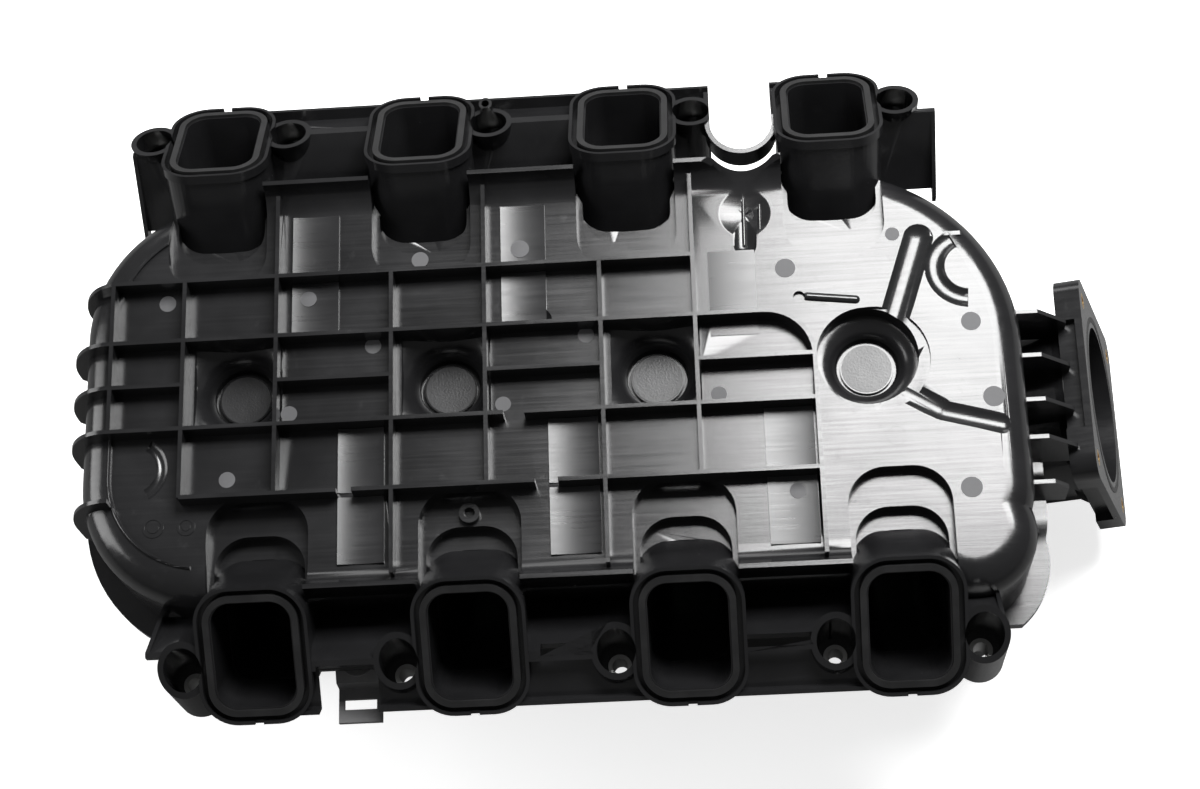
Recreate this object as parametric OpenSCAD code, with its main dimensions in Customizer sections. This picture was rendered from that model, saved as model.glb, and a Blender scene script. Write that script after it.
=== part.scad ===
// Intake manifold for a V8 engine, resting on its top cover with the port faces up.
// The throttle flange looks along +X, and the two banks of ports lie at +Y and -Y.
// All heights in the modules are measured from the port centres; place() puts them on the floor.

/* [Ports] */
// Distance between two ports of one bank
port_pitch = 111.76; // [105:0.01:118]
// Shift between the two banks along the engine
bank_shift = 24.84; // [20:0.01:28]
// Distance of the port centres from the middle plane
port_y = 147.1; // [140:0.1:155]
// Tilt of each port face away from level, in degrees
port_tilt = 33.7; // [30:0.1:38]
// Width of a port opening along the engine
port_w = 41; // [38:0.5:44]
// Height of a port opening across the engine
port_h = 56.5; // [52:0.5:58]
// Corner radius of a port opening
port_r = 10.5; // [8:0.5:14]

/* [Body] */
// Half width of the plenum
body_y = 115.6; // [114:0.1:118]
// Left end of the plenum wall
body_left = -253; // [-256:1:-250]
// Right end of the plenum wall
body_right = 251; // [249:1:254]
// Height of the weld line between the shells
weld_z = -76; // [-82:1:-70]
// Height of the ribbed panel
panel_z = -4; // [-6:0.5:-2]
// Height of the rib tops
rib_top = 7.6; // [5:0.2:10]
// Wall thickness of the shells
wall = 3; // [2.5:0.1:3.5]
// Thickness of the ribs
rib_t = 2.2; // [1.8:0.1:3]
// Depth of the whole manifold below the port centres
floor_z = -175; // [-180:1:-172]

/* [Throttle] */
// Bore of the throttle opening
throttle_d = 87; // [80:1:90]
// Circle of the throttle screws
throttle_pcd = 128; // [124:0.5:130]
// Upward tilt of the throttle flange, in degrees
throttle_tilt = 15; // [10:1:18]
// Middle of the throttle flange face along the engine
throttle_x = 301.5; // [298:0.5:306]
// Middle of the throttle flange face, height
throttle_z = -94; // [-98:1:-90]

/* [Bolts] */
// Distance of a manifold bolt from its port along the engine
bolt_dx = 37.5; // [36:0.1:39]
// Distance of the manifold bolts from the middle plane
bolt_y = 151.6; // [150:0.1:153]
// Bore of the steel sleeves
bolt_hole_d = 8; // [7:0.5:8.5]

/* [Hidden] */

$fn = 64;
eps = 0.01;
far = 400;

// Port face: lip inside the groove, groove, outer rim
lip_w = 0.9;
groove_w = 6.2;
rim_w = 1.75;
groove_depth = 6;
rim_h = 5;
notch_w = 4.5;
notch_depth = 2.5;
rim_out = lip_w + groove_w + rim_w;
stack_out = rim_out - 1.2;
gasket_w = 3.3;
stack_len = 62;
stack_socket = 44;
runner_wall = 2;
socket_gap = 0.3;

// Banks: side 1 is +Y, side -1 is -Y
first_x = -1.5 * port_pitch;
function port_x(side, i) = first_x - side * bank_shift / 2 + i * port_pitch;
function bolt_x(side, i) =
    i == 0 ? port_x(side, 0) - bolt_dx : port_x(side, i - 1) + bolt_dx;
function bolt_at(side, i) = side > 0 ? bolt_x(1, i) : -bolt_x(1, i);

// Ladder section, measured outwards (u) and up (w) on the port plane
strip_u = [4.4, 10.2];
lip_u = [31.4, 33.7];
strip_w = -1.5;
plate_w = -8;
web_foot_y = 113;
web_foot_z = -38;
boss_r = 13;
boss_bottom = -54;
cavity_r = 10;
cavity_floor = -38;
sleeve_r = 6.2;
sleeve_top = -36;

// Ribs of the panel
v_ribs = [-233.8, -194.9, -144.9, -83.1, -33.2, 28.6, 78.6, 140.4];
h_ribs = [60.9, 26.4, -23.5, -61.8];
rib_arc_r = 26;
pad_x = [for (i = [0:3]) -166.9 + i * port_pitch];
pad_y = 2.5;
pad_r = 14.2;
moat_w = 1.6;
pad_z = -25;
cell = 47.6;
funnel_r = 36;
open_r = 27;

// Place on the floor, middle of the box above the origin
rim_out_w = 11.5;
flange_w = 114.5;
box_x0 = body_left - rim_out_w;
box_x1 = throttle_x + flange_w / 2 * sin(throttle_tilt);
module place() { translate([-(box_x0 + box_x1) / 2, 0, -floor_z]) children(); }

module bank(side) {
    if (side > 0) children();
    else mirror([0, 1, 0]) children();
}

// Frame of one port: +Z out of the opening, +Y outwards along the face
module at_port(side, i) {
    bank(side) translate([port_x(side, i), port_y, 0]) rotate([-port_tilt, 0, 0]) children();
}

// Frame of the throttle flange: +Z out of the bore, +X down
module at_throttle() {
    translate([throttle_x, 0, throttle_z]) rotate([0, 90 - throttle_tilt, 0]) children();
}

module rounded(w, h, r) {
    square([w - 2 * r, h], center = true);
    square([w, h - 2 * r], center = true);
    for (sx = [-1, 1], sy = [-1, 1]) translate([sx * (w / 2 - r), sy * (h / 2 - r)]) circle(r);
}

// Outline of a port, grown by d all round
module port_outline(d) { rounded(port_w + 2 * d, port_h + 2 * d, port_r + d); }

// Bar with a section drawn in the YZ plane, from x0 to x1
module along_x(x0, x1) {
    translate([x0, 0, 0]) rotate([90, 0, 90]) linear_extrude(x1 - x0) children();
}

// Plate with an outline drawn in the XZ plane, centred on y
module along_y(y, t) {
    translate([0, y + t / 2, 0]) rotate([90, 0, 0]) linear_extrude(t) children();
}

// Section of a shoulder: a wall r away from the axis with its top edge rounded by s
module shoulder_section(r, s, z0, z1) {
    translate([0, z0]) square([r, z1 - z0 - s]);
    if (s > 0) {
        translate([0, z0]) square([r - s, z1 - z0]);
        intersection() {
            translate([r - s, z1 - s]) circle(s);
            translate([0, z0]) square([r, z1 - z0]);
        }
    }
}

// Corners of the plenum, from the left +Y one clockwise: [x, y, radius]
corner_r = [78, 105, 48, 70];
ear = [216, -93.5, 34.3];
corners = [[body_left + corner_r[0], body_y - corner_r[0], corner_r[0]],
    [body_right - corner_r[1], body_y - corner_r[1], corner_r[1]],
    [body_right - corner_r[2], -body_y + corner_r[2], corner_r[2]],
    [body_left + corner_r[3], -body_y + corner_r[3], corner_r[3]]];

// Body with the plan of the plenum grown by d, and its top edge rounded by s
module plenum(d, s, z0, z1) {
    for (c = concat(corners, [ear])) translate([c[0], c[1], 0])
        rotate_extrude() shoulder_section(c[2] + d, s, z0, z1);
    along_y((corners[1][1] + corners[2][1]) / 2, corners[1][1] - corners[2][1])
        shoulder_section(body_right + d, s, z0, z1);
    along_y((corners[0][1] + corners[3][1]) / 2, corners[0][1] - corners[3][1])
        mirror([1, 0]) shoulder_section(-body_left + d, s, z0, z1);
    along_x(corners[0][0], corners[1][0]) shoulder_section(body_y + d, s, z0, z1);
    along_x(corners[3][0], corners[2][0]) mirror([1, 0]) shoulder_section(body_y + d, s, z0, z1);
}

// The ledge that the panel curves up to beside the stacks
ledge_z = 11;
ledge_r = 15;
ledge_t = 2.4;
module ledge(x0, x1) {
    along_x(x0, x1) difference() {
        translate([body_y - ledge_t - ledge_r, panel_z - wall])
            square([ledge_r + ledge_t, ledge_z - panel_z + wall]);
        translate([body_y - ledge_t - ledge_r, ledge_z]) circle(ledge_r);
    }
}

// Low bead round the left end of the panel
bead_in = 17;
bead_w = 1.8;
bead_h = 1.6;
module bead() {
    intersection() {
        difference() {
            plenum(-bead_in, 1, panel_z - 1, panel_z + bead_h);
            plenum(-bead_in - bead_w, 0.5, panel_z - 2, panel_z + bead_h + 1);
        }
        translate([-far, -far, -50]) cube([far - 190, 2 * far, 100]);
    }
}

// Stack of one port, from the rim down
module stack_solid() {
    translate([0, 0, -rim_h]) linear_extrude(rim_h) port_outline(rim_out);
    translate([0, 0, -stack_len]) linear_extrude(stack_len - rim_h + eps) port_outline(stack_out);
}

module stack_cuts() {
    translate([0, 0, -stack_len - far]) linear_extrude(stack_len + far + 1) port_outline(0);
    translate([0, 0, -groove_depth]) linear_extrude(groove_depth + 1) difference() {
        port_outline(lip_w + groove_w);
        port_outline(lip_w);
    }
    translate([0, 0, -1.5]) linear_extrude(3) port_outline(lip_w);
    translate([0, port_h / 2 + rim_out - rim_w, -notch_depth / 2 + eps])
        cube([notch_w, 2 * rim_w + 1.5, notch_depth], center = true);
    translate([0, 0, -stack_len - 1]) linear_extrude(stack_len - stack_socket + 1)
        port_outline(runner_wall + socket_gap);
}

// Recess in the panel in front of a stack, as three arches one inside the other
arch_y = [60, 79, 89];
arch_z = [-13, -22, -30];
arch_w = [54, 48, 40];
module arch(side, i, k, d) {
    r = 20 - 2 * k;
    bank(side) translate([port_x(side, i), 0, arch_z[k] - d]) linear_extrude(60) {
        translate([-arch_w[k] / 2 - d, arch_y[k] + r]) square([arch_w[k] + 2 * d, 118 - arch_y[k] - r]);
        translate([-arch_w[k] / 2 + r, arch_y[k] - d]) square([arch_w[k] - 2 * r, 30]);
        for (sx = [-1, 1]) translate([sx * (arch_w[k] / 2 - r), arch_y[k] + r]) circle(r + d);
    }
}

// Round funnel with a pad at its bottom, in a square cell of the grid or free in the panel
module funnel_bowl(d, r) {
    rotate_extrude() {
        translate([0, pad_z - 2 - d]) square([pad_r + moat_w + d, 60]);
        difference() {
            translate([0, pad_z - 2 - d]) square([r + d, 60]);
            translate([r + d, pad_z - 2 - d]) circle(r - pad_r - moat_w);
        }
    }
}
module funnel(i, d) {
    if (i < 3) intersection() {
        translate([pad_x[i], pad_y, 0]) funnel_bowl(d, funnel_r);
        translate([pad_x[i], pad_y - 1, 0]) cube([cell + 2 * d, cell + 2 * d, 100], center = true);
    }
    else translate([pad_x[i], pad_y, 0]) funnel_bowl(d, open_r);
}
module pad(i) { translate([pad_x[i], pad_y, pad_z - 4]) cylinder(h = 4, r = pad_r); }

module panel_ribs() {
    z0 = panel_z - 1;
    h = rib_top - z0;
    module v_rib(x, y0, y1) { translate([x - rib_t / 2, y0, z0]) cube([rib_t, y1 - y0, h]); }
    module h_rib(y, x0, x1) { translate([x0, y - rib_t / 2, z0]) cube([x1 - x0, rib_t, h]); }
    v_rib(v_ribs[0], -24.6, 62);
    v_rib(v_ribs[1], -62, 61);
    for (k = [2, 4, 6]) v_rib(v_ribs[k], -62, 108);
    for (k = [3, 5]) v_rib(v_ribs[k], -108, 61);
    v_rib(v_ribs[7], -108, h_ribs[1] - rib_arc_r);
    h_rib(h_ribs[0], v_ribs[0], v_ribs[6] + 1);
    h_rib(h_ribs[1], v_ribs[0], v_ribs[7] - rib_arc_r);
    h_rib(h_ribs[2], v_ribs[0], -24);
    h_rib(h_ribs[2], -13, v_ribs[7]);
    h_rib(h_ribs[3], v_ribs[1], -112);
    h_rib(h_ribs[3], -104, -8);
    h_rib(h_ribs[3], 4, v_ribs[7]);
    h_rib(1.2, v_ribs[0], v_ribs[1]);
    h_rib(1.2, v_ribs[2], v_ribs[3]);
    h_rib(1.2, v_ribs[4] - 1, v_ribs[5]);
    h_rib(1.2, v_ribs[6], v_ribs[7]);
    // rounded right corner of the grid
    translate([v_ribs[7] - rib_arc_r, h_ribs[1] - rib_arc_r, z0]) intersection() {
        difference() {
            cylinder(h = h, r = rib_arc_r + rib_t / 2);
            translate([0, 0, -1]) cylinder(h = h + 2, r = rib_arc_r - rib_t / 2);
        }
        translate([0, 0, -1]) cube([60, 60, h + 2]);
    }
}

// Low plates on the panel over the inner cores, slightly crowned: [x0, x1, y0, y1]
strips = [[-138.6, -112.6, 18.4, 100], [-25, -0.6, 17.2, 100], [86.4, 111.8, 17.4, 66],
    [-112.8, -88, -100, -11.6], [-1.4, 25.4, -100, -12.8], [112, 138.2, -100, -11]];
strip_h = 0.6;
strip_crown_r = 1400;
module strip(p) {
    along_x(p[0], p[1]) intersection() {
        translate([p[2], panel_z - 1]) square([p[3] - p[2], 4]);
        translate([(p[2] + p[3]) / 2, panel_z + strip_h - strip_crown_r]) circle(strip_crown_r, $fn = 256);
    }
}

// Round-ended bar lying in the plane z, from a to b, for troughs and ridges
module bar(a, b, r, z) {
    run = b - a;
    length = norm(run);
    translate([a[0], a[1], z]) rotate([0, 0, atan2(run[1], run[0])]) rotate([0, 90, 0])
        rotate_extrude() intersection() {
            union() {
                circle(r);
                square([r, length]);
                translate([0, length]) circle(r);
            }
            translate([0, -r]) square([r, length + 2 * r]);
        }
}

// Troughs that stiffen the panel, grown by d: two by the fourth pad, a leaf, a hook and a dimple
trough_r = 10;
trough_z = 3.6;
channel = [[186.5, -18.4], [203.9, -29.4], [206, -31], [236, -39.5]];
wedge = [[183, 20], [199.5, 68]];
wedge_r = 12;
leaf = [107.6, 88];
hook = [225, 50, 18];
dimple = [-222, -42, 15.5];
crater = [-4.4, 32];
ridge = [[138.5, 37.4], [164, 34.2]];
ridge_end = [134.2, 37.6];
module troughs(d) {
    bar(channel[0], channel[1], trough_r + d, trough_z);
    bar(channel[2], channel[3], trough_r - 0.8 + d, trough_z - 0.5);
    bar(wedge[0], wedge[1], wedge_r + d, 4.9);
    translate([leaf[0], leaf[1], 34]) sphere(40.6 + d);
    bar(leaf, [leaf[0] - 0.6, 69], 9 + d, 2.5);
    translate([hook[0], hook[1], 2.6]) rotate([0, 0, 115]) rotate_extrude(angle = 150)
        translate([hook[2], 0]) circle(8.6 + d);
    translate([dimple[0], dimple[1], -1.2]) rotate([0, 0, -62]) rotate_extrude(angle = 122)
        translate([dimple[2], 0]) circle(4.2 + d);
    translate([crater[0], crater[1], 2.6]) sphere(9.2 + d);
}
// Small raised details of the panel
screw_boss = [-44.2, -72.6];
stamps = [[-210.5, -74.3, 5.6], [-192.9, -74.6, 4.8]];
nipple = [-32.5, 164];
module details() {
    bar(ridge[0], ridge[1], 2.4, panel_z - 0.4);
    bar([leaf[0] - 1, 70], [leaf[0] - 0.4, 99], 1.1, -6.6);
    bar([leaf[0] + 7.6, 76], [leaf[0] + 8.2, 93], 0.9, -5.6);
    translate([crater[0] + 0.6, crater[1], -8]) cylinder(h = 4.4, r1 = 2.4, r2 = 1.4);
    translate([screw_boss[0], screw_boss[1], -17]) cylinder(h = 8, r = 5.4);
    for (p = stamps) translate([p[0], p[1], panel_z - 1]) difference() {
        cylinder(h = 1.4, r = p[2]);
        translate([0, 0, 1]) difference() {
            cylinder(h = 1, r = p[2] - 1.2);
            translate([0, 0, -1]) cylinder(h = 3, r = p[2] - 2.6);
        }
    }
    translate([nipple[0], nipple[1], -24]) cylinder(h = 18, r = 3.6);
}
module detail_cuts() {
    translate([ridge_end[0], ridge_end[1], -6.4]) cylinder(h = 10, r = 3.2);
    translate([screw_boss[0], screw_boss[1], -13]) cylinder(h = 8, r = 2.9);
    translate([nipple[0], nipple[1], -22]) cylinder(h = 20, r = 2.1);
}
// Crescent step beside the fourth funnel
crescent_at = [3.6, -2.2];
crescent_r = 29.4;
module crescent() {
    translate([pad_x[3] + crescent_at[0], pad_y + crescent_at[1], panel_z - 2])
        cylinder(h = 20, r = crescent_r);
}

// Fin that carries a rib round the left end of the plenum, with an elliptic edge
fin_size = [26, 42];
module left_fin(y, foot, inset) {
    mid = [v_ribs[0] - 2 + inset, rib_top - fin_size[1]];
    along_y(y, rib_t) polygon(concat([[v_ribs[0] + 1, foot], [v_ribs[0] + 1, rib_top]],
        [for (a = [90:6:180]) [mid[0] + fin_size[0] * cos(a), mid[1] + fin_size[1] * sin(a)]],
        [[mid[0] - fin_size[0], min(foot + 14, mid[1] - 1)], [body_left, foot]]));
}

// Gusset on the right end: level to x1, then sloping down to x2
neck_fins = [29, 4, -21, -42];
module right_fin(y, x0, x1, x2, top, low, foot) {
    along_y(y, rib_t) polygon([[x0, top], [x1, top], [x2, low], [x2, foot], [x0, foot]]);
}

// Solid part below the plane of the port faces, dropped by w
module below_face(w) {
    intersection() {
        children();
        translate([0, port_y, 0]) rotate([-port_tilt, 0, 0])
            translate([-far, -far, w - far]) cube([2 * far, 2 * far, far]);
    }
}

// Point on the port plane in the YZ section
function face(u, w) =
    [port_y + u * cos(port_tilt) + w * sin(port_tilt), -u * sin(port_tilt) + w * cos(port_tilt)];

// Ladder of one bank between x0 and x1, without its bosses
module ladder(x0, x1) {
    along_x(x0, x1) polygon([face(strip_u[0], strip_w), face(strip_u[1], strip_w),
        face(strip_u[1], plate_w), face(lip_u[0], plate_w), face(lip_u[0], strip_w),
        face(lip_u[1], strip_w), face(lip_u[1], plate_w - 2.5), face(strip_u[1] - 1, plate_w - 2.5),
        [web_foot_y + 3, web_foot_z - 3], [web_foot_y, web_foot_z], [web_foot_y, web_foot_z + 1]]);
}

// End wall that closes a ladder, and the skirt between it and the last boss
skirt_y = 142;
skirt_t = 2.6;
module ladder_end(x, x_boss) {
    translate([x - rib_t / 2, 0, 0]) along_x(0, rib_t) polygon([[skirt_y, -3], [skirt_y + skirt_t, -3.6],
        [web_foot_y + 3, web_foot_z - 4], [web_foot_y - 6, web_foot_z - 6], [web_foot_y - 6, web_foot_z]]);
    x0 = min(x, x_boss) - rib_t / 2;
    along_x(x0, max(x, x_boss) + rib_t / 2) polygon([[skirt_y, -3], [skirt_y + skirt_t, -3.6],
        [skirt_y + skirt_t, -8], [web_foot_y + 3, web_foot_z - 3.5], [web_foot_y, web_foot_z - 1.5]]);
}

module boss(side, i) {
    bank(side) below_face(strip_w) translate([bolt_at(side, i), bolt_y, boss_bottom])
        cylinder(h = 80, r = boss_r);
}
module boss_cuts(side, i) {
    bank(side) translate([bolt_at(side, i), bolt_y, 0]) {
        translate([0, 0, cavity_floor]) cylinder(h = 80, r = cavity_r);
        translate([0, 0, boss_bottom - 1]) cylinder(h = 80, r = sleeve_r);
    }
}

// U-shaped opening in the +Y ladder, with a dent in the plenum wall behind it
notch_x = 108;
notch_y = 141.6;
notch_r = 17;
notch_t = 2.6;
notch_low = -16;
dent_r = 30.6;
module u_notch(d, z0, z1) {
    translate([notch_x, notch_y, z0]) {
        cylinder(h = z1 - z0, r = notch_r + d);
        translate([-notch_r - d, 0, 0]) cube([2 * (notch_r + d), 60, z1 - z0]);
    }
}
module dent(d) { translate([notch_x, notch_y, -far / 2]) cylinder(h = far, r = dent_r + d); }

// Narrow slots through the web of the -Y ladder: [from, to] along X
web_slots = [[-8, 19], [97, 131]];
web_slot_y = [145.4, 152.6];
// Break in the -Y ladder, where the clip sits
ladder_gap = [-124, -93];

ladder_ends = [[-228, 213], [-211, 227]];
module bank_frame(side) {
    ends = side > 0 ? ladder_ends[0] : ladder_ends[1];
    difference() {
        bank(side) {
            ladder(port_x(side, 0), port_x(side, 3));
            ladder_end(ends[0], port_x(side, 0));
            ladder_end(ends[1], port_x(side, 3));
        }
        if (side < 0) for (slot = web_slots)
            translate([slot[0], -web_slot_y[1], -60])
                cube([slot[1] - slot[0], web_slot_y[1] - web_slot_y[0], 80]);
        if (side < 0) translate([ladder_gap[0], -web_slot_y[1] - far, -60])
            cube([ladder_gap[1] - ladder_gap[0], far, 80]);
        if (side > 0) intersection() {
            dent(0);
            translate([notch_x - 30, 100, -60]) cube([60, notch_y - 100, 80]);
        }
    }
    for (i = [0:4]) boss(side, i);
}

neck_r = 50.5;
flange_t = 14;
flange_lip = 4;
waist_w = 62;
waist_depth = 4.5;
module neck_solid() {
    at_throttle() {
        difference() {
            translate([0, 0, -flange_t]) linear_extrude(flange_t) rounded(flange_w, flange_w, 12);
            // the back of the flange is cut away between its four lugs
            for (a = [0:90:270]) rotate([0, 0, a])
                translate([flange_w / 2 - waist_depth, -waist_w / 2, -flange_t - 1])
                    cube([waist_depth + 1, waist_w, flange_t + 1 - flange_lip]);
        }
        translate([0, 0, -64]) cylinder(h = 64, r = neck_r);
        translate([0, 0, -flange_t - 5]) cylinder(h = 5, r1 = neck_r, r2 = neck_r + 3);
    }
}

seal_r = [46.4, 49.4];
insert_r = 4.5;
module throttle_screws() {
    for (a = [45:90:315]) rotate([0, 0, a]) translate([throttle_pcd / 2, 0, 0]) children();
}
module neck_cuts() {
    at_throttle() {
        translate([0, 0, -120]) cylinder(h = 121, r = throttle_d / 2);
        translate([0, 0, -3]) difference() {
            cylinder(h = 4, r = seal_r[1]);
            translate([0, 0, -1]) cylinder(h = 6, r = seal_r[0]);
        }
        throttle_screws() translate([0, 0, -11]) cylinder(h = 12, r = insert_r);
    }
}

// Everything in front of the body's right wall that belongs to the neck
neck_from = 236;
module right_of(x) { intersection() { children(); translate([x, -far, -far]) cube(2 * far); } }

shoulder = 17;
rim_h_weld = 4;
side_rim_y = 119.4;
ear_rim_y = 129.5;
open_side = [-204, 216];

// Welding rim round both shells; it is narrow between the stacks
module weld_rim(z0, h) {
    difference() {
        translate([0, 0, z0]) plenum(rim_out_w, 0, 0, h);
        translate([0, 0, z0]) plenum(-wall, 0, -1, h + 2);
        for (side = [-1, 1]) bank(side) translate([open_side[0], side_rim_y, z0 - 1])
            cube([open_side[1] - open_side[0], 60, h + 2]);
        translate([-far, -ear_rim_y - 60, z0 - 1]) cube([2 * far, 60, h + 2]);
    }
}

// Panel, shoulders and side walls, with the recesses of its stacks and pads
module shell_body() {
    difference() {
        union() {
            difference() {
                plenum(0, shoulder, weld_z, panel_z);
                plenum(-wall, shoulder - wall, weld_z - 1, panel_z - wall);
            }
            ledge(-204, 180);
            mirror([0, 1, 0]) ledge(-180, 204);
            weld_rim(weld_z, rim_h_weld);
            bead();
            for (p = strips) strip(p);
            intersection() {
                union() {
                    for (side = [-1, 1], i = [0:3], k = [0:2]) arch(side, i, k, 2.4);
                    for (i = [0:3]) funnel(i, 2.4);
                    dent(2.4);
                    troughs(2.4);
                }
                plenum(-0.5, shoulder, weld_z, panel_z - 0.2);
            }
        }
        for (side = [-1, 1], i = [0:3], k = [0:2]) arch(side, i, k, 0);
        for (i = [0:3]) funnel(i, 0);
        dent(0);
        troughs(0);
        crescent();
    }
}

module lower_shell() {
    color([0.035, 0.036, 0.038]) place() difference() {
        union() {
            shell_body();
            for (i = [0:3]) pad(i);
            details();
            panel_ribs();
            left_fin(h_ribs[0], -42, 5);
            left_fin(h_ribs[1], -54, 0);
            left_fin(1.2, -54, 0);
            left_fin(h_ribs[2], -60, 0);
            left_fin(h_ribs[3], -66, 2.5);
            for (y = neck_fins) right_fin(y, 232, 261, 278, -20.5, -38, -60);
            right_fin(-67, 238, 262, 270, -20.5, -30, -50);
            right_fin(-92, 228, 246, 252, -19, -27, -50);
            right_fin(70, 206, 222, 227.5, -4.5, -18, -60);
            right_fin(50, 216, 229, 241, -4.5, -45, -60);
            for (side = [-1, 1]) bank_frame(side);
            for (side = [-1, 1], i = [0:3]) at_port(side, i) stack_solid();
            right_of(neck_from) neck_solid();
            below_face(strip_w) intersection() {
                u_notch(notch_t, notch_low, 0);
                translate([0, 0, -far / 2]) cube([far, face(lip_u[1], 0)[0], far]);
            }
        }
        for (side = [-1, 1], i = [0:3]) at_port(side, i) stack_cuts();
        for (side = [-1, 1], i = [0:4]) boss_cuts(side, i);
        detail_cuts();
        neck_cuts();
        u_notch(0, -80, 40);
        // nothing of this shell reaches below the weld line, except the neck
        translate([-far, -far, weld_z - far]) cube([far + neck_from, 2 * far, far]);
    }
}

// Bulge of the cover round a runner
module cover_bulge(side, i, d) {
    at_port(side, i) translate([0, 0, -150 - d]) linear_extrude(100) port_outline(runner_wall + 4 + d);
}

module below_weld() {
    intersection() { children(); translate([-far, -far, weld_z - far]) cube([2 * far, 2 * far, far]); }
}

cover_r = 24;
module cover_bowl(d) {
    below_weld() mirror([0, 0, 1]) plenum(d, cover_r + d, -weld_z - 1, -floor_z + d);
}

module upper_cover() {
    color([0.035, 0.036, 0.038]) place() difference() {
        union() {
            cover_bowl(0);
            below_weld() for (side = [-1, 1], i = [0:3]) cover_bulge(side, i, 0);
            weld_rim(weld_z - rim_h_weld, rim_h_weld);
        }
        below_weld() mirror([0, 0, 1]) plenum(-wall, cover_r - wall, -weld_z - 1, -floor_z - wall);
        below_weld() for (side = [-1, 1], i = [0:3]) cover_bulge(side, i, -wall);
        at_throttle() translate([0, 0, -140]) cylinder(h = 150, r = neck_r + 0.3);
    }
}

// Runner behind one stack: a straight length, a bend and a rounded mouth
runner_start = stack_socket + 0.5;
bend_from = 100;
bend_r = 62;
bend_angle = 70;
mouth_w = 3;
collar = 2;
module tube_ring(outer, inner) {
    difference() {
        port_outline(outer);
        port_outline(inner);
    }
}
module runner(side, i) {
    color([0.05, 0.05, 0.055]) place() at_port(side, i) {
        translate([0, 0, -bend_from]) linear_extrude(bend_from - runner_start) tube_ring(runner_wall, 0);
        bend() tube_ring(runner_wall, 0);
        translate([0, 0, -bend_from - collar]) linear_extrude(2 * collar)
            tube_ring(runner_wall + collar, runner_wall / 2);
        bend_end() translate([0, 0, -mouth_w / 2]) linear_extrude(mouth_w)
            tube_ring(runner_wall + collar, runner_wall / 2);
    }
}
module bend() {
    translate([0, -bend_r, -bend_from]) rotate([0, -90, 0]) rotate([0, 0, 90])
        rotate_extrude(angle = bend_angle) translate([bend_r, 0]) rotate([0, 0, 90]) children();
}
module bend_end() {
    translate([0, -bend_r, -bend_from]) rotate([-bend_angle, 0, 0]) translate([0, bend_r, 0]) children();
}

// Rubber ring in the groove of a port
module port_gasket(side, i) {
    color([0.09, 0.09, 0.095]) place() at_port(side, i)
        translate([0, 0, -groove_depth]) linear_extrude(groove_depth + 0.2) difference() {
            port_outline(lip_w + gasket_w);
            port_outline(lip_w);
        }
}

module throttle_gasket() {
    color([0.12, 0.12, 0.12]) place() at_throttle() translate([0, 0, -3]) difference() {
        cylinder(h = 3.2, r = seal_r[1]);
        translate([0, 0, -1]) cylinder(h = 6, r = seal_r[0]);
    }
}

module throttle_inserts() {
    color([0.72, 0.55, 0.25]) place() at_throttle() throttle_screws() translate([0, 0, -11]) difference() {
        cylinder(h = 11, r = insert_r);
        translate([0, 0, -1]) cylinder(h = 14, r = 2.6);
    }
}

module bolt_sleeves(side) {
    color([0.6, 0.6, 0.62]) place() bank(side) for (i = [0:4])
        translate([bolt_at(side, i), bolt_y, boss_bottom]) difference() {
            cylinder(h = sleeve_top - boss_bottom, r = sleeve_r);
            translate([0, 0, -1]) cylinder(h = 40, r = bolt_hole_d / 2);
        }
}
module bolt_sleeves_left() { bolt_sleeves(1); }
module bolt_sleeves_right() { bolt_sleeves(-1); }

// Snap clip for the wiring, in the break of the -Y ladder: a saddle and a bracket with a slot
clip_x = [-117, -94];
clip_slot = [17, 5.5];
module harness_clip() {
    width = clip_x[1] - clip_x[0];
    color([0.2, 0.2, 0.21]) place() difference() {
        union() {
            along_x(clip_x[0], clip_x[1]) polygon([[-134, -46], [-134, -32], [-138, -27.5], [-150, -26],
                [-156, -29], [-157, -38], [-175, -38], [-175, -41], [-157, -41], [-157, -46]]);
            translate([clip_x[0] + width / 2, -145, -27]) cylinder(h = 2.4, r = 8.5);
        }
        translate([clip_x[0] + width / 2 - clip_slot[0] / 2, -168, -60])
            cube([clip_slot[0], clip_slot[1], 40]);
        translate([clip_x[0] - 1, -153, -47]) cube([width + 2, 14, 9]);
    }
}

lower_shell();
upper_cover();
runner(1, 0);  // runner_1
runner(1, 1);  // runner_2
runner(1, 2);  // runner_3
runner(1, 3);  // runner_4
runner(-1, 0);  // runner_5
runner(-1, 1);  // runner_6
runner(-1, 2);  // runner_7
runner(-1, 3);  // runner_8
port_gasket(1, 0);  // port_gasket_1
port_gasket(1, 1);  // port_gasket_2
port_gasket(1, 2);  // port_gasket_3
port_gasket(1, 3);  // port_gasket_4
port_gasket(-1, 0);  // port_gasket_5
port_gasket(-1, 1);  // port_gasket_6
port_gasket(-1, 2);  // port_gasket_7
port_gasket(-1, 3);  // port_gasket_8
throttle_gasket();
throttle_inserts();
bolt_sleeves_left();
bolt_sleeves_right();
harness_clip();
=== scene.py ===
import math
import bmesh
import bpy
from mathutils import Matrix, Vector


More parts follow.
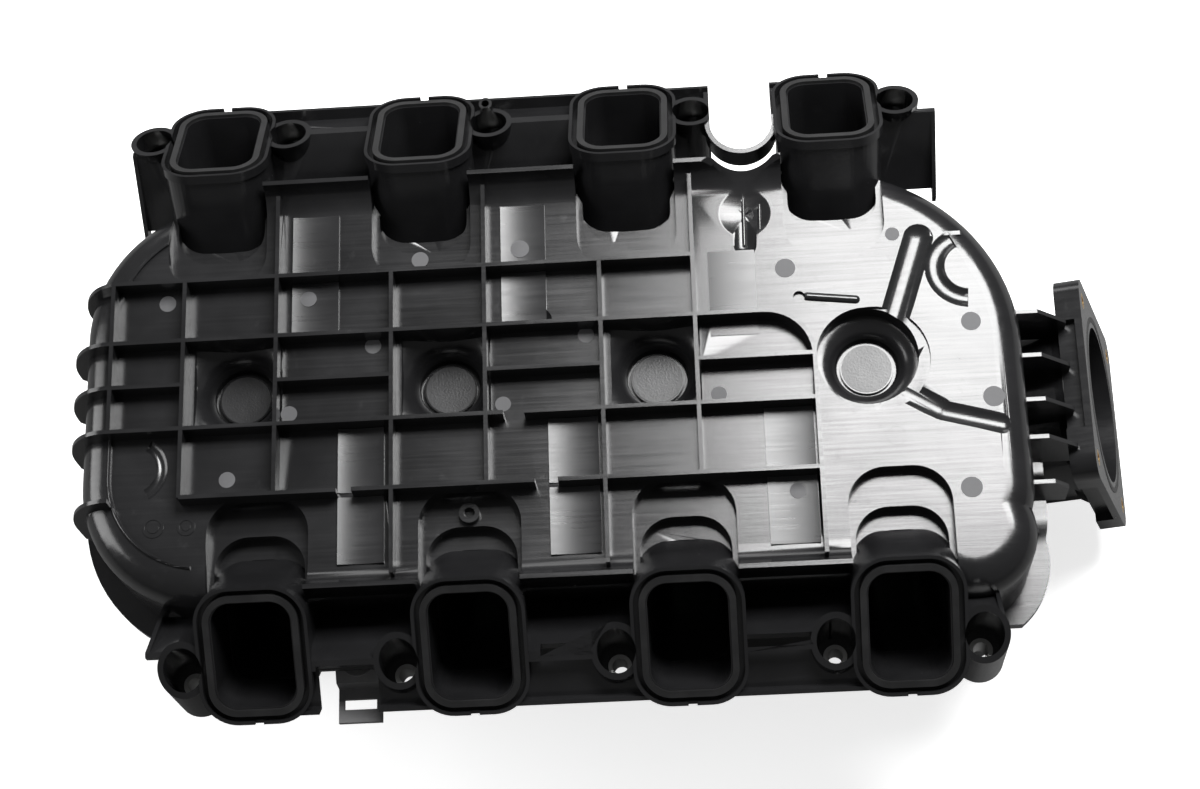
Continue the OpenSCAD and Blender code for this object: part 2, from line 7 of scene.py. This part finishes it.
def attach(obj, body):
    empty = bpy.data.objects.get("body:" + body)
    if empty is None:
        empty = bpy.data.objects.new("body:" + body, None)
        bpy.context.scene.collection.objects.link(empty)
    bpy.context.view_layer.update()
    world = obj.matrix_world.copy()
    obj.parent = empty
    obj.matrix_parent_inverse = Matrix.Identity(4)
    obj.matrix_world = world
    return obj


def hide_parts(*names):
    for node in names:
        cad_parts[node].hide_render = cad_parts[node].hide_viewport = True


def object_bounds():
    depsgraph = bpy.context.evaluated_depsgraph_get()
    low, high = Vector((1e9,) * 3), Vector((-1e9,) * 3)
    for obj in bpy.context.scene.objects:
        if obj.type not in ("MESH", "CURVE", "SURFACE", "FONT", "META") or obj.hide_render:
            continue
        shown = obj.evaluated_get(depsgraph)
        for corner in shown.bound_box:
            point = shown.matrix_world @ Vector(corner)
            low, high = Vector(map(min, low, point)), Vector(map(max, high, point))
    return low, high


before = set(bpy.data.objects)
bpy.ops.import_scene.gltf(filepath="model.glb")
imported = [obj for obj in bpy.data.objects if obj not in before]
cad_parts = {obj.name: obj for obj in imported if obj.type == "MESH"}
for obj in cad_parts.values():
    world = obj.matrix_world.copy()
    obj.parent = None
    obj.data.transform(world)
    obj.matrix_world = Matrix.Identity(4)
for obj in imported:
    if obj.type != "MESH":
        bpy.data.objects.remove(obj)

cad_low, cad_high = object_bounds()
MM = 0.001
BODY = "root"

# Millimetres from here on, counted from the middle of the port centres, which lie 175 mm above the floor
port_to_top = 20.585
port_to_middle = 25.909
middle = Vector((-port_to_middle * MM, 0, cad_high.z - port_to_top * MM))
panel = -4.0            # height of the ribbed panel
strip_top = -3.4        # height of the low strips over the inner cores
port_pitch = 111.76
pad_x = [-166.9 + i * port_pitch for i in range(4)]
pad_y = 2.5
pad_top = -25.0
pad_face_r = 13.4
disc_depth = 0.5        # thickness of the ejector marks and pad faces, most of it sunk in the shell
core_pin = (180.5, -43.1)


def spot(x, y, z):
    """A point in millimetres from the port centres, as metres in the frame."""
    return middle + Vector((x, y, z)) * MM


# ---------------------------------------------------------------- node helpers
class Nodes:
    """Short calls for building a node tree."""

    def __init__(self, tree):
        self.tree = tree

    def add(self, kind):
        return self.tree.nodes.new(kind)

    def join(self, out, into):
        self.tree.links.new(out, into)

    def maths(self, operation, a, b):
        node = self.add("ShaderNodeMath")
        node.operation = operation
        for k, v in enumerate((a, b)):
            if isinstance(v, (int, float)):
                node.inputs[k].default_value = v
            else:
                self.join(v, node.inputs[k])
        return node.outputs[0]

    def noise(self, vector, scale, detail, rough=0.5):
        node = self.add("ShaderNodeTexNoise")
        node.inputs["Scale"].default_value = scale
        node.inputs["Detail"].default_value = detail
        node.inputs["Roughness"].default_value = rough
        self.join(vector, node.inputs["Vector"])
        return node.outputs["Fac"]

    def spread(self, value, low, high):
        """Brings the values from low to high to the range 0 to 1."""
        node = self.add("ShaderNodeMapRange")
        node.inputs["From Min"].default_value = low
        node.inputs["From Max"].default_value = high
        self.join(value, node.inputs["Value"])
        return node.outputs["Result"]

    def stretched(self, vector, scale):
        node = self.add("ShaderNodeMapping")
        node.inputs["Scale"].default_value = scale
        self.join(vector, node.inputs["Vector"])
        return node.outputs["Vector"]

    def mix(self, factor, a, b):
        node = self.add("ShaderNodeMix")
        node.data_type = "RGBA"
        self.join(factor, node.inputs["Factor"])
        for key, colour in (("A", a), ("B", b)):
            socket = [s for s in node.inputs if s.name == key and s.type == "RGBA"][0]
            self.join(colour, socket)
        return [s for s in node.outputs if s.type == "RGBA"][0]


def new_group(name, inputs, outputs):
    """A shader node group with its sockets, as the tree, its calls and its inner sockets."""
    tree = bpy.data.node_groups.new(name, "ShaderNodeTree")
    for label, kind, value in inputs:
        socket = tree.interface.new_socket(name=label, in_out="INPUT", socket_type=kind)
        socket.default_value = value
    for label, kind in outputs:
        tree.interface.new_socket(name=label, in_out="OUTPUT", socket_type=kind)
    n = Nodes(tree)
    return tree, n, n.add("NodeGroupInput").outputs, n.add("NodeGroupOutput").inputs


FLOAT, COLOUR = "NodeSocketFloat", "NodeSocketColor"


def flow_marks_group():
    """Glass-filled nylon: long fine flow streaks, a glass-fibre grain and cloudy patches."""
    tree, n, given, out = new_group("flow_marks", [
        ("Colour", COLOUR, (0.01, 0.01, 0.011, 1)), ("Cloud Colour", COLOUR, (0.02, 0.02, 0.022, 1)),
        ("Smoothest", FLOAT, 0.18), ("Roughest", FLOAT, 0.32), ("Grain", FLOAT, 1.0),
    ], [("Colour", COLOUR), ("Roughness", FLOAT), ("Height", FLOAT)])
    place = n.add("ShaderNodeTexCoord").outputs["Object"]
    streaks = n.noise(n.stretched(place, (14, 620, 240)), 1.0, 4.0, 0.6)
    fine = n.noise(n.stretched(place, (60, 2600, 1200)), 1.0, 2.0, 0.5)
    grain = n.noise(place, 2600.0, 2.0, 0.6)
    cloud = n.noise(place, 22.0, 3.0, 0.55)
    scuffs = n.noise(n.stretched(place, (55, 40, 40)), 1.6, 5.0, 0.7)
    streak_mask = n.spread(streaks, 0.35, 0.7)
    cloud_mask = n.spread(cloud, 0.38, 0.68)
    scuff_mask = n.spread(scuffs, 0.6, 0.74)
    patches = n.maths("MAXIMUM", n.maths("MULTIPLY", cloud_mask, 0.55), n.maths("MULTIPLY", scuff_mask, 0.7))
    n.join(n.mix(patches, given["Colour"], given["Cloud Colour"]), out["Colour"])
    blend = n.maths("ADD", n.maths("MULTIPLY", streak_mask, 0.5), n.maths("MULTIPLY", cloud_mask, 0.3))
    blend = n.maths("ADD", blend, n.maths("MULTIPLY", scuff_mask, 0.35))
    reach = n.maths("SUBTRACT", given["Roughest"], given["Smoothest"])
    n.join(n.maths("ADD", given["Smoothest"], n.maths("MULTIPLY", blend, reach)), out["Roughness"])
    height = n.maths("ADD", n.maths("MULTIPLY", streaks, 0.55), n.maths("MULTIPLY", fine, 0.25))
    height = n.maths("ADD", height, n.maths("MULTIPLY", n.maths("MULTIPLY", grain, given["Grain"]), 0.3))
    n.join(height, out["Height"])
    return tree


def spark_grain_group():
    """Fine spark-eroded texture with a little dust, for matte plastic, rubber and metal."""
    tree, n, given, out = new_group("spark_grain", [
        ("Colour", COLOUR, (0.05, 0.05, 0.05, 1)), ("Dust", COLOUR, (0.12, 0.12, 0.12, 1)),
        ("Dust Amount", FLOAT, 0.4), ("Roughness", FLOAT, 0.6), ("Variation", FLOAT, 0.12),
        ("Scale", FLOAT, 2200.0),
    ], [("Colour", COLOUR), ("Roughness", FLOAT), ("Height", FLOAT)])
    place = n.add("ShaderNodeTexCoord").outputs["Object"]
    grain = n.add("ShaderNodeTexNoise")
    grain.inputs["Detail"].default_value = 3.0
    n.join(place, grain.inputs["Vector"])
    n.join(given["Scale"], grain.inputs["Scale"])
    cloud = n.noise(place, 70.0, 4.0, 0.6)
    dust = n.maths("MULTIPLY", n.spread(cloud, 0.45, 0.72), given["Dust Amount"])
    n.join(n.mix(dust, given["Colour"], given["Dust"]), out["Colour"])
    swing = n.maths("MULTIPLY", n.maths("SUBTRACT", cloud, 0.5), given["Variation"])
    n.join(n.maths("ADD", given["Roughness"], swing), out["Roughness"])
    n.join(grain.outputs["Fac"], out["Height"])
    return tree


flow_marks = flow_marks_group()
spark_grain = spark_grain_group()


def finish_material(name, group, values, bump, bump_height, metallic=0.0, ior=1.5):
    """A Principled material whose colour, roughness and bump come from one of the groups."""
    material = bpy.data.materials.new(name)
    material.use_nodes = True
    tree = material.node_tree
    tree.nodes.clear()
    n = Nodes(tree)
    surface = n.add("ShaderNodeGroup")
    surface.node_tree = group
    for key, value in values.items():
        surface.inputs[key].default_value = value
    shader = n.add("ShaderNodeBsdfPrincipled")
    shader.inputs["Metallic"].default_value = metallic
    shader.inputs["IOR"].default_value = ior
    relief = n.add("ShaderNodeBump")
    relief.inputs["Strength"].default_value = bump
    relief.inputs["Distance"].default_value = bump_height
    n.join(surface.outputs["Height"], relief.inputs["Height"])
    n.join(surface.outputs["Colour"], shader.inputs["Base Color"])
    n.join(surface.outputs["Roughness"], shader.inputs["Roughness"])
    n.join(relief.outputs["Normal"], shader.inputs["Normal"])
    n.join(shader.outputs[0], n.add("ShaderNodeOutputMaterial").inputs["Surface"])
    return material


def grey(value, tint=1.0):
    return (value, value, value * tint, 1)


shell_black = finish_material("shell_black_nylon", flow_marks, {
    "Colour": grey(0.009, 1.06), "Cloud Colour": grey(0.017, 1.06), "Smoothest": 0.17, "Roughest": 0.3,
    "Grain": 0.6}, 0.28, 0.00012, ior=1.53)
strip_black = finish_material("core_strip_nylon", flow_marks, {
    "Colour": grey(0.012, 1.06), "Cloud Colour": grey(0.02, 1.06), "Smoothest": 0.26, "Roughest": 0.4,
    "Grain": 0.6}, 0.3, 0.00012, ior=1.55)
cover_black = finish_material("cover_black_nylon", flow_marks, {
    "Colour": grey(0.011, 1.05), "Cloud Colour": grey(0.02, 1.05), "Smoothest": 0.26, "Roughest": 0.42,
    "Grain": 1.2}, 0.3, 0.00015, ior=1.53)
runner_black = finish_material("runner_black_nylon", spark_grain, {
    "Colour": grey(0.012), "Dust": grey(0.025), "Roughness": 0.5}, 0.2, 0.0001)
gasket_rubber = finish_material("port_ring_rubber", spark_grain, {
    "Colour": grey(0.008, 1.04), "Dust": grey(0.02, 1.02), "Roughness": 0.5, "Dust Amount": 0.5},
    0.3, 0.00015)
seal_rubber = finish_material("throttle_ring_rubber", spark_grain, {
    "Colour": grey(0.03), "Dust": grey(0.07), "Roughness": 0.62}, 0.3, 0.00015)
sleeve_steel = finish_material("sleeve_steel", spark_grain, {
    "Colour": grey(0.42, 0.98), "Dust": grey(0.2), "Roughness": 0.34, "Variation": 0.25}, 0.15, 0.00005, 1.0)
insert_brass = finish_material("insert_brass", spark_grain, {
    "Colour": (0.62, 0.42, 0.16, 1), "Dust": (0.3, 0.2, 0.1, 1), "Roughness": 0.3, "Variation": 0.2},
    0.15, 0.00005, 1.0)
clip_grey = finish_material("clip_grey_nylon", spark_grain, {
    "Colour": grey(0.16, 1.02), "Dust": grey(0.1), "Roughness": 0.42}, 0.25, 0.0001)
pin_matte = finish_material("ejector_matte", spark_grain, {
    "Colour": grey(0.075, 1.04), "Dust": grey(0.1, 1.04), "Roughness": 0.62, "Dust Amount": 0.6}, 0.3, 0.0001)
pad_matte = finish_material("pad_matte", spark_grain, {
    "Colour": grey(0.02, 1.04), "Dust": grey(0.04, 1.04), "Roughness": 0.34, "Scale": 900.0}, 0.4, 0.0002)


def set_material(piece, material):
    piece.data.materials.clear()
    piece.data.materials.append(material)


# ---------------------------------------------------------------- pieces
def add_piece(name, bm, material, smooth=30.0):
    """Turns a bmesh into a piece of the object that rides on its body."""
    mesh = bpy.data.meshes.new(name)
    bm.to_mesh(mesh)
    bm.free()
    mesh.polygons.foreach_set("use_smooth", [True] * len(mesh.polygons))
    mesh.set_sharp_from_angle(angle=math.radians(smooth))
    piece = bpy.data.objects.new(name, mesh)
    bpy.context.scene.collection.objects.link(piece)
    set_material(piece, material)
    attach(piece, BODY)
    return piece


def rounded_copy(name, node, material, width):
    """Copy of a CAD node with its edges broken by a small bevel, shown in place of the node."""
    bm = bmesh.new()
    bm.from_mesh(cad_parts[node].data)
    bmesh.ops.remove_doubles(bm, verts=bm.verts, dist=0.004 * MM)
    bmesh.ops.dissolve_limit(bm, angle_limit=math.radians(0.6), use_dissolve_boundaries=False,
                             verts=bm.verts, edges=bm.edges)
    piece = add_piece(name, bm, material, smooth=23.0)
    bevel = piece.modifiers.new("broken_edges", "BEVEL")
    bevel.affect = "EDGES"
    bevel.width = width
    bevel.segments = 2
    bevel.profile = 0.5
    bevel.material = -1
    bevel.limit_method = "ANGLE"
    bevel.angle_limit = math.radians(40)
    bevel.use_clamp_overlap = True
    even = piece.modifiers.new("flat_faces_stay_flat", "WEIGHTED_NORMAL")
    even.mode = "FACE_AREA"
    even.weight = 100
    even.keep_sharp = True
    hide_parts(node)


rounded_copy("shell_body", "lower_shell", shell_black, 0.35 * MM)
rounded_copy("cover_body", "upper_cover", cover_black, 0.5 * MM)
rounded_copy("clip_body", "harness_clip", clip_grey, 0.5 * MM)

for k in range(1, 9):
    set_material(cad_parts[f"runner_{k}"], runner_black)
    set_material(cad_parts[f"port_gasket_{k}"], gasket_rubber)
set_material(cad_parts["throttle_gasket"], seal_rubber)
set_material(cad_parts["throttle_inserts"], insert_brass)
set_material(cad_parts["bolt_sleeves_left"], sleeve_steel)
set_material(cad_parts["bolt_sleeves_right"], sleeve_steel)


def add_disc(bm, x, y, z, radius, segments):
    """Flat closed disc, centred on a point."""
    bmesh.ops.create_cone(bm, cap_ends=True, segments=segments, radius1=radius * MM, radius2=radius * MM,
                          depth=disc_depth * MM, matrix=Matrix.Translation(spot(x, y, z)))


# Marks of the ejector pins: flat matte discs, [x, y, radius, height of the surface they lie on]
ejector_pins = [
    (-206.6, 52.7, 4.6, panel), (-129.4, 50.7, 4.4, strip_top + 0.45), (-94.4, 22.0, 4.4, panel),
    (-139.3, -14.4, 4.4, panel), (-25.0, -14.9, 4.2, panel), (20.0, 21.9, 4.4, panel),
    (-171.8, -49.7, 4.4, panel), (-95.7, -72.9, 4.4, panel), (16.4, -73.6, 4.4, panel),
    (127.7, 54.5, 5.4, panel), (223.8, 18.5, 5.2, panel), (232.4, -24.3, 5.6, panel),
    (217.0, -73.5, 5.6, panel), (185.9, 71.0, 3.8, panel), (127.6, -71.1, 4.2, strip_top + 0.2),
    (89.2, -15.4, 4.2, panel), (-68.9, 70.7, 4.6, panel), (-14.5, 73.6, 5.0, strip_top + 0.3),
]
bm = bmesh.new()
for x, y, radius, surface in ejector_pins:
    add_disc(bm, x, y, surface - 0.12, radius, 48)
add_piece("ejector_marks", bm, pin_matte)

# Thin plates on the low strips: [x0, x1, y0, y1, slope of the long edges in degrees, hollow if positive]
core_strips = [
    (-138.2, -113.0, 27.5, 59.6, 9.0), (-138.2, -113.0, 62.2, 99.0, 9.0),
    (-24.8, -0.8, 27.5, 59.6, 7.5), (-24.8, -0.8, 62.2, 99.0, 7.5), (86.6, 111.6, 27.5, 65.8, -2.0),
    (-112.6, -88.2, -60.5, -24.8, 9.5), (-112.6, -88.2, -99.5, -63.0, 9.5),
    (-1.2, 25.2, -60.5, -24.8, 7.5), (-1.2, 25.2, -99.5, -63.0, 7.5),
    (112.2, 138.0, -60.5, -24.8, 5.0), (112.2, 138.0, -99.5, -63.0, 5.0),
]


def curved_plate(bm, x0, x1, y0, y1, slope):
    """Thin closed plate on a strip, whose top is a parabola across X."""
    columns = 16
    half = (x1 - x0) / 2
    top = strip_top + (0.1 if slope > 0 else 0.5)
    foot = strip_top - 0.5
    rows = []
    for k in range(columns + 1):
        x = x0 + (x1 - x0) * k / columns
        rise = math.tan(math.radians(slope)) * (x - x0 - half) ** 2 / (2 * half)
        rows.append([bm.verts.new(spot(x, y, z)) for y, z in (
            (y0, top + rise), (y1, top + rise), (y1, foot), (y0, foot))])
    for a, b in zip(rows, rows[1:]):
        for j in range(4):
            bm.faces.new((a[j], b[j], b[(j + 1) % 4], a[(j + 1) % 4]))
    bm.faces.new(rows[0])
    bm.faces.new(rows[-1][::-1])


bm = bmesh.new()
for plate in core_strips:
    curved_plate(bm, *plate)
bmesh.ops.recalc_face_normals(bm, faces=bm.faces)
add_piece("core_strips", bm, strip_black)

# Outline of a core pin beside the fourth pad
bm = bmesh.new()
ring_profile = [bm.verts.new(spot(core_pin[0] + r, core_pin[1], panel + z)) for r, z in (
    (4.6, -0.3), (5.3, -0.3), (5.3, 0.16), (4.6, 0.16))]
ring_edges = [bm.edges.new((ring_profile[k], ring_profile[(k + 1) % 4])) for k in range(4)]
bmesh.ops.spin(bm, geom=ring_profile + ring_edges, cent=spot(*core_pin, panel), axis=(0, 0, 1),
               angle=2 * math.pi, steps=48, use_merge=True, dvec=(0, 0, 0))
bmesh.ops.remove_doubles(bm, verts=bm.verts, dist=0.001 * MM)
bmesh.ops.recalc_face_normals(bm, faces=bm.faces)
add_piece("core_pin_ring", bm, shell_black)

# Textured faces of the four welding pads
bm = bmesh.new()
for x in pad_x:
    add_disc(bm, x, pad_y, pad_top - 0.05, pad_face_r, 64)
add_piece("pad_faces", bm, pad_matte)


# ---------------------------------------------------------------- floor, light and camera
def studio_floor():
    """Pale sheet under the part, which the part mirrors darker than the camera sees it."""
    bm = bmesh.new()
    bmesh.ops.create_grid(bm, x_segments=1, y_segments=1, size=6.0)
    mesh = bpy.data.meshes.new("studio_floor")
    bm.to_mesh(mesh)
    bm.free()
    floor = bpy.data.objects.new("studio_floor", mesh)
    bpy.context.scene.collection.objects.link(floor)
    material = bpy.data.materials.new("studio_paper")
    material.use_nodes = True
    tree = material.node_tree
    tree.nodes.clear()
    n = Nodes(tree)
    seen = n.add("ShaderNodeBsdfPrincipled")
    seen.inputs["Base Color"].default_value = (0.86, 0.86, 0.86, 1)
    seen.inputs["Roughness"].default_value = 0.9
    seen.inputs["Specular IOR Level"].default_value = 0.0
    seen.inputs["Emission Color"].default_value = (1, 1, 1, 1)
    seen.inputs["Emission Strength"].default_value = 0.74
    mirrored = n.add("ShaderNodeBsdfDiffuse")
    mirrored.inputs["Color"].default_value = (0.2, 0.2, 0.2, 1)
    mixed = n.add("ShaderNodeMixShader")
    n.join(n.add("ShaderNodeLightPath").outputs["Is Camera Ray"], mixed.inputs[0])
    n.join(mirrored.outputs[0], mixed.inputs[1])
    n.join(seen.outputs[0], mixed.inputs[2])
    n.join(mixed.outputs[0], n.add("ShaderNodeOutputMaterial").inputs["Surface"])
    set_material(floor, material)


def soft_box(name, place, target, width, height, radiance):
    """Rectangular lamp of the given size in metres, turned towards a point."""
    light = bpy.data.lights.new(name, "AREA")
    light.shape = "RECTANGLE"
    light.size, light.size_y = width, height
    light.energy = radiance * math.pi * width * height
    lamp = bpy.data.objects.new(name, light)
    bpy.context.scene.collection.objects.link(lamp)
    lamp.location = place
    lamp.rotation_mode = "QUATERNION"
    lamp.rotation_quaternion = (Vector(target) - Vector(place)).to_track_quat("-Z", "Y")


def studio_air():
    """Weak even light from all sides."""
    world = bpy.data.worlds.new("studio_air")
    world.use_nodes = True
    background = world.node_tree.nodes["Background"]
    background.inputs["Color"].default_value = (1, 1, 1, 1)
    background.inputs["Strength"].default_value = 0.14
    bpy.context.scene.world = world


def set_camera():
    """The camera looks down on the ribbed panel, from the -Y side."""
    lens = bpy.data.cameras.new("camera")
    lens.sensor_fit = "HORIZONTAL"
    lens.sensor_width = 36.0
    lens.lens = 75.712
    lens.clip_start = 0.05
    lens.clip_end = 30.0
    camera = bpy.data.objects.new("camera", lens)
    camera.location = spot(100.163, -478.504, 1242.391)
    camera.rotation_euler = [math.radians(turn) for turn in (20.372, 3.985, -1.621)]
    bpy.context.scene.collection.objects.link(camera)
    bpy.context.scene.camera = camera


studio_floor()
studio_air()
set_camera()
soft_box("key_box", (0.64, 0.78, 1.67), (0.64, 0.78, 0.0), 1.14, 0.9, 23.0)
soft_box("left_box", (-1.5, 0.1, 0.75), (-0.2, 0.0, 0.1), 0.9, 1.0, 5.0)
soft_box("back_box", (-0.25, 1.75, 0.9), (0.0, 0.0, 0.1), 1.6, 0.5, 3.0)

scene = bpy.context.scene
scene.view_settings.view_transform = "Standard"
scene.view_settings.look = "None"
